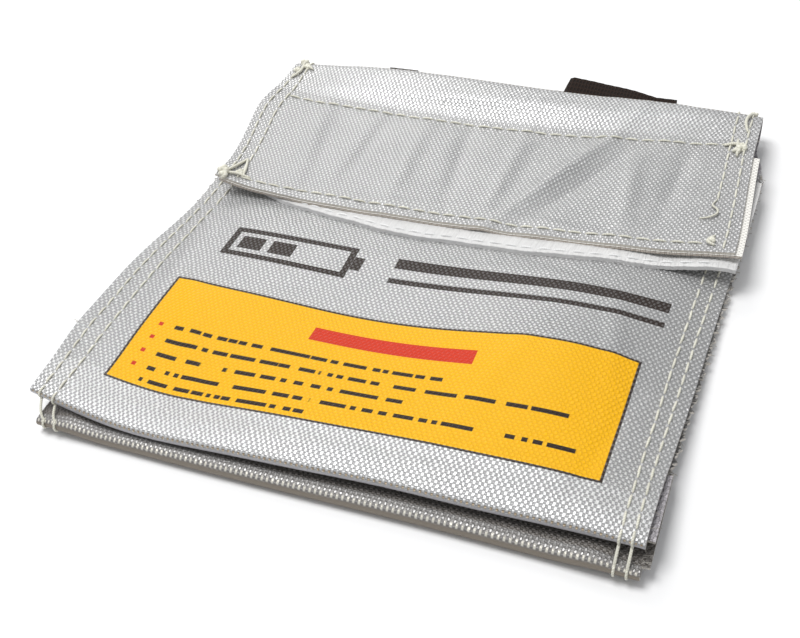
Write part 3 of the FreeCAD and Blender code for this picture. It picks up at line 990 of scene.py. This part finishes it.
for side, name in SIDES:
    whole, inner = half_places(side, HALF, STEP), half_places(side, PANEL_HALF, 2.0)

    front = shell(
        "front_cloth_" + name, front_point, whole,
        np.concatenate([
            spaced(-FOLD_ARC - LIP, -FOLD_ARC, 0.8)[:-1], spaced(-FOLD_ARC, 0, 0.5)[:-1],
            spaced(0, HINGE, 1.2),
        ]),
        -CLOTH / 2, CLOTH / 2,
    )
    finish_half(front, "printed_cloth", "printed_cloth", side, "belly", "front_panel")

    mouth = shell(
        "mouth_cloth_" + name, front_point, whole, spaced(HINGE, MOUTH_EDGE, 1.5),
        -CLOTH / 2, CLOTH / 2,
    )
    finish_half(mouth, "silver_cloth", "silver_cloth", side, "mouth", "mouth_panel")

    liner = shell(
        "front_lining_" + name, front_point, inner, spaced(LINING_END, HINGE, 2.0), *LINING_LAYER
    )
    finish_half(liner, "lining", "lining", side, "belly", "front_lining")

    liner = shell(
        "mouth_lining_" + name, front_point, inner, spaced(HINGE, MOUTH_EDGE, 2.0), *LINING_LAYER
    )
    finish_half(liner, "lining", "lining", side, "mouth", "mouth_lining")

    tape_x = half_places(side, HALF - 2.2 if side < 0 else HALF + 1.3, 1.0)
    loop = shell(
        "loop_strip_" + name, loop_point, tape_x, np.linspace(0, 1, 34),
        -LOOP / 2, LOOP / 2, normals=unit_normal, ragged=fluffy,
    )
    finish_half(loop, "loop_tape", "loop_tape", side, "mouth", "loop_strip")

    ply = shell(
        "gusset_upper_" + name, upper_ply_point, whole, spaced(0, UPPER_PLY, 1.0),
        -CLOTH / 2, CLOTH / 2, outward=-1,
    )
    finish_half(ply, "silver_gusset_painted_shade", "silver_cloth", side, "gusset_upper", "gusset_upper_ply")

    ply = shell(
        "gusset_lower_" + name, lower_ply_point, whole,
        np.concatenate([
            spaced(0, LOWER_PLY, 1.4)[:-1], spaced(LOWER_PLY, LOWER_PLY + 1.8, 0.3),
        ]),
        -CLOTH / 2, CLOTH / 2, outward=1,
    )
    finish_half(ply, "silver_gusset_painted_shade", "silver_cloth", side, "gusset_lower", "gusset_lower_ply")

    edge_x = np.sort(side * np.array([PANEL_HALF, 82, 84, 86, 87.5, 88.7, HALF]))
    margin = shell(
        "side_margin_" + name, margin_point(side), edge_x, spaced(25, MOUTH_EDGE, 0.6),
        -0.45, 0.45, ragged=partial(frayed, side),
    )
    finish_piece(margin, "silver_fold_painted_shade", "silver_cloth", body="root", nodes=["side_seam_" + name])

# Sewing. stitch_paths and tubes draw from rng, so the order of their calls matters.
lift = CLOTH / 2 + 0.12
share = np.linspace(0, 1, 7)
for side, name in SIDES:
    for label, inset in (("outer", 3.6), ("inner", 8.6 if side < 0 else 7.2)):
        x = side * (HALF - inset)
        which = "%s_%s" % (name, label)
        xs, ss = [x, x - side * 0.3, x], [-FOLD_ARC - 0.5, 40, HINGE - 1]
        runs = stitch_paths(front_point, xs, ss, lift)
        seam = ["seam_thread_" + which]
        sew("seam_thread_front_" + which, runs, blend=half_blend(side, "belly"), nodes=seam)
        runs = stitch_paths(front_point, [x, x], [HINGE + 0.5, MOUTH_EDGE - 1], lift)
        sew("seam_thread_mouth_" + which, runs, blend=half_blend(side, "mouth"))
        runs = stitch_paths(back_point, [x, x], [-FOLD_ARC - 0.5, 0.8], lift, -1)
        runs += stitch_paths(back_point, [x, x], [2.5, 160], CLOTH / 2 + 0.02, -1, radius=0.3)
        above, below = (p(x, -FOLD_ARC + 0.6) for p in (front_point, back_point))
        across = above + (below - above) * share[:, None]
        across[:, 1] -= 0.3 + 1.2 * np.sin(math.pi * share)
        runs.append((across, np.tile([side * 1.0, 0.3, 0], (7, 1)), np.full(7, 0.4)))
        sew("seam_thread_back_" + which, runs, body="root")

low_row, high_row = FLAP_RUN - 3.6, HOOK_TOP - 3.0
for name, node, s, x0, x1 in (
    ("flap_row_low", "hook_thread_bottom", low_row, -81, 81),
    ("flap_row_high", "hook_thread_top", high_row, -82, 84),
):
    xs = np.linspace(x0, x1, 9)
    climb = 2.4 * ease(xs, 10, 80) if s == high_row else 0
    runs = stitch_paths(flap_point, xs, s + 0.4 * np.sin(xs / 19) - climb, lift, -1)
    sew(name, runs, blend=FLAP_BLEND, nodes=[node])

for side, name in SIDES:
    runs = []
    for inset, end in ((3.4, FLAP_RUN - 1.5), (8.2, 45 if side > 0 else FLAP_RUN - 2)):
        x = side * (HALF - inset)
        xs, ss = [x, x + side * 0.4, x], [-TOP_ARC + 3, 30, end]
        runs += stitch_paths(flap_point, xs, ss, lift, -1)
    sew("flap_rows_" + name, runs, blend=FLAP_BLEND, nodes=["flap_side_thread_" + name])

flap_knot, flap_strand = partial(knot, flap_point), partial(strand, flap_point)
corner = FLAP_RUN - 2
tacks = {
    "corner_tack_top_left": [
        flap_knot(-86, -2.5, 0.1, size=1.2, radius=0.85),
        flap_knot(-82.5, 1.0, 0.0, size=1.0, radius=0.8),
        flap_knot(-86.5, 3.5, -0.1, size=0.9, radius=0.8),
        flap_strand([(-86, -2.5), (-84, 4), (-87, 9)], 0.7),
        flap_strand([(-82.5, 1), (-79, 2.5)], 0.7),
    ],
    "corner_tack_low_left": [
        flap_knot(-88, corner - 1, 0.1, size=1.5, radius=0.95),
        flap_knot(-87, corner + 0.8, 0.0, size=1.1, radius=0.9),
        flap_knot(-82, corner - 3, 0.2, radius=0.75),
        flap_strand([(-88, corner), (-85, corner - 6), (-83, corner - 12)], 0.7),
        flap_strand([(-88, corner), (-83, corner - 1.5), (-77, corner - 2)], 0.7),
        flap_strand([(-83, corner - 12), (-81, corner - 6), (-80, corner - 1)], 0.7),
    ],
    "corner_tack_top_right": [
        flap_knot(86, high_row - 1, 0.1, size=1.2, radius=0.85),
        flap_knot(84.5, high_row + 1, 0.3),
        flap_strand([(80, high_row - 2), (86, high_row - 3)], 0.7),
        flap_strand([(84, high_row - 6), (85, high_row + 4)], 0.7),
        flap_strand([(87.5, -3), (85, 2), (86.5, 8)], 0.7),
        flap_knot(87, -3, 0.3, size=0.9),
    ],
    "loose_thread_end": [
        flap_strand(
            [(81.8, 45), (80.8, 48.5), (82.2, 50.5), (82.6, 53), (80.4, 55), (77.8, 55.4)],
            0.5, arch=0.7, radius=0.36,
        ),
        flap_strand([(83.5, 64), (82, 67.5), (84.2, 69)], 0.6),
        flap_knot(83, 66.5, 0.2, size=0.8),
    ],
}
for name, paths in tacks.items():
    sew(name + "_strands", paths, blend=FLAP_BLEND, nodes=[name])

for side, name in SIDES:
    x0, x1 = (-85, 0) if side < 0 else (0, 85)
    xs = np.linspace(x0, x1, 7)
    runs = []
    for v in (0.045, 0.955):
        runs += stitch_paths(loop_point, xs, np.full(7, v), LOOP / 2 + 0.05, normals=unit_normal)
    obj = tubes("loop_rows_" + name, runs)
    finish_half(obj, "white_thread", "thread", side, "mouth", "loop_strip_thread")
    runs = stitch_paths(front_point, xs, np.full(7, MOUTH_EDGE - 2.0), lift)
    obj = tubes("mouth_hem_" + name, runs)
    finish_half(obj, "thread", "thread", side, "mouth", "mouth_hem_thread")

# Carry strap
for side, name, tab in ((-1, "left", TAB_LEFT), (1, "right", TAB_RIGHT)):
    outer = tab[0][0] if side < 0 else tab[1][0]
    xs = spaced(min(outer, STRAP_MIDDLE), max(outer, STRAP_MIDDLE), 0.9)
    strap = shell(
        "carry_strap_" + name, strap_point, xs, np.linspace(0, 1, 26),
        -WEBBING / 2, WEBBING / 2, normals=unit_normal, ragged=ribbed,
    )
    finish_piece(
        strap, "webbing", "webbing", nodes=half_nodes(side, "handle_strap"),
        blend=(
            "root", "handle", row_point(STRAP_MIDDLE + side * 44, 0, 0), row_point(STRAP_MIDDLE, 0, 0)
        ),
    )

    end = shell(
        "strap_end_" + name, strap_end_point(tab), spaced(tab[0][0], tab[1][0], 0.9),
        np.linspace(0, 1, 34), -WEBBING / 2, WEBBING / 2, normals=unit_normal, ragged=ribbed,
    )
    finish_piece(end, "webbing", "webbing", body="root", nodes=["strap_tab_" + name])

    x0, x1 = sorted((outer - side * 2, outer - side * 10))
    y0, y1 = tab[0][1] + 2, tab[0][1] + 14
    corners = [(x0, y0), (x1, y0), (x1, y1), (x0, y1), (x0, y0)]
    runs = []
    for (ax, ay), (bx, by) in zip(corners[:-1], corners[1:]):
        runs += stitch_paths(under_strap(tab), [ax, bx], [ay, by], 0.08, -1, radius=0.22)
    sew("strap_box_" + name, runs, body="root", nodes=["strap_tack_" + name])

# Frayed fibres along both side margins, and at the right end of the bottom folds
hairs = []
for x, y0, y1, z, count in (
    (89.5, 2, 158, None, 70),
    (-89.5, 2, 104, None, 26),
    (89.5, -5, 6, 4.5, 26),
):
    for _ in range(count):
        y = rng.uniform(y0, y1)
        here = np.array([x, y, 0.0])
        place = here[0:1], here[1:2]
        if z is None:
            low, high = back_low(*place)[0], panel_top(*place)[0]
            here[2] = low + 0.6 + (high - low - 1.0) * rng.random()
        else:
            here[2] = z + rng.uniform(-1.5, 1.5)
        here[0] += skew(*place)[0]
        length = np.sign(x) * rng.uniform(0.8, 2.6)
        reach = np.array([length, rng.uniform(-1.6, 1.6), rng.uniform(-0.7, 0.9)])
        bend = rng.uniform(-0.6, 0.6, 3)
        t = np.linspace(0, 1, 6)[:, None]
        line = here + reach * t + bend * t * (1 - t) * 2
        hairs.append((line, np.tile([0.1, 0.2, 1.0], (6, 1)), np.full(6, 0.09)))
fibres = tubes("frayed_fibres", hairs, sides=5)
finish_piece(fibres, "silver_fold_painted_shade", "silver_cloth", body="root")

# Floor and light
mesh = bpy.data.meshes.new("floor")
corners = [(3.0 * x, 3.0 * y, 0) for x, y in ((-1, -1), (1, -1), (1, 1), (-1, 1))]
mesh.from_pydata(corners, [], [(0, 1, 2, 3)])
floor = bpy.data.objects.new("floor", mesh)
floor.data.materials.append(floor_material())
bpy.context.scene.collection.objects.link(floor)

world = bpy.data.worlds.new("soft_white")
world.use_nodes = True
background = world.node_tree.nodes["Background"]
background.inputs["Color"].default_value = (0.97, 0.98, 1.0, 1)
background.inputs["Strength"].default_value = 0.46
bpy.context.scene.world = world


def area_light(name, place, size, power, colour=(1, 1, 1)):
    """A square light that faces the sack. Place and size are in metres."""
    data = bpy.data.lights.new(name, "AREA")
    data.shape, data.size, data.energy, data.color = "SQUARE", size, power, colour
    obj = bpy.data.objects.new(name, data)
    obj.location = place
    obj.rotation_euler = (-Vector(place)).to_track_quat("-Z", "Y").to_euler()
    bpy.context.scene.collection.objects.link(obj)


area_light("overhead", (-0.29, 0.03, 0.90), 0.5, 6.8)
area_light("back_left", (-0.52, 0.92, 0.8), 0.55, 3.3, (1.0, 0.985, 0.96))
bpy.context.scene.view_settings.view_transform = "Standard"
